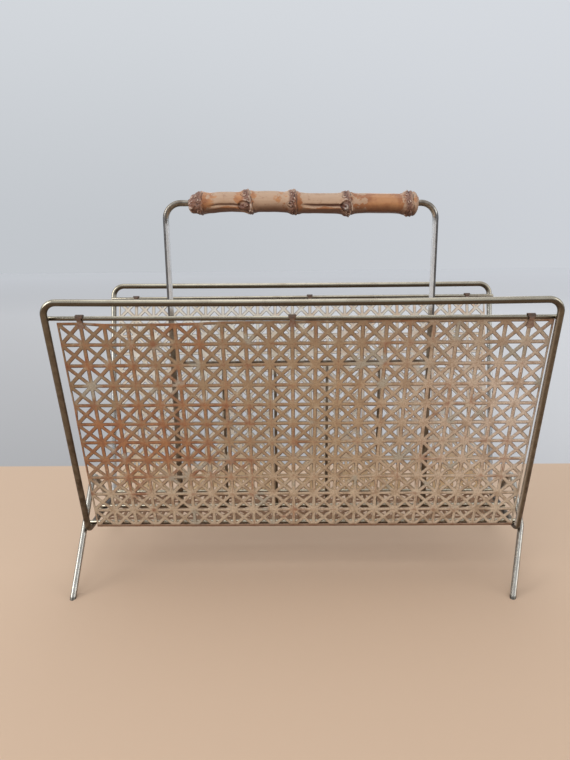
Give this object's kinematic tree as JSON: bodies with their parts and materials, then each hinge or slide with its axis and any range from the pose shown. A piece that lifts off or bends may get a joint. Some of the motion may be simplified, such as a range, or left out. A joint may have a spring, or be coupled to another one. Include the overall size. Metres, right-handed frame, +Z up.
{
  "type": "magazine basket",
  "caption": "Free-standing wire magazine basket with a bent perforated sheet, a middle wire divider, splayed wire legs and an arched handle with a turning bamboo grip.",
  "frame": {"origin": "centre of the base on the floor, under the middle of the overall box", "axes": "+X along the basket to the picture's right, +Y from the front wall to the rear wall, +Z up"},
  "size_m": [0.4306, 0.2014, 0.3632],
  "materials": {
    "brass_wire": "aged brass plating, satin, with dulled and darkened patches",
    "aged_sheet": "thin plated sheet, dulled, browned with rust on the left",
    "rusty_clip": "rusted, matt",
    "bamboo": "worn honey-coloured varnish"
  },
  "bodies": {
    "basket": {"main_frame": "brass_wire", "front_crossbar": "brass_wire", "rear_crossbar": "brass_wire", "bottom_front_wire": "brass_wire", "bottom_centre_wire": "brass_wire", "bottom_rear_wire": "brass_wire", "left_leg": "brass_wire", "right_leg": "brass_wire", "handle_wire": "brass_wire", "divider_bar": "brass_wire", "divider_rod_1": "brass_wire", "divider_rod_2": "brass_wire", "divider_rod_3": "brass_wire", "divider_rod_4": "brass_wire", "perforated_basket": "aged_sheet", "front_clip_1": "rusty_clip", "front_clip_2": "rusty_clip", "front_clip_3": "rusty_clip", "rear_clip_1": "rusty_clip", "rear_clip_2": "rusty_clip", "rear_clip_3": "rusty_clip"},
    "grip": {"bamboo_grip": "bamboo"}
  },
  "joints": [
    {"name": "grip_turn", "type": "hinge", "parent": "basket", "child": "grip", "pos_m": [0, 0, 0.3515], "axis": [1, 0, 0], "continuous": true}
  ]
}
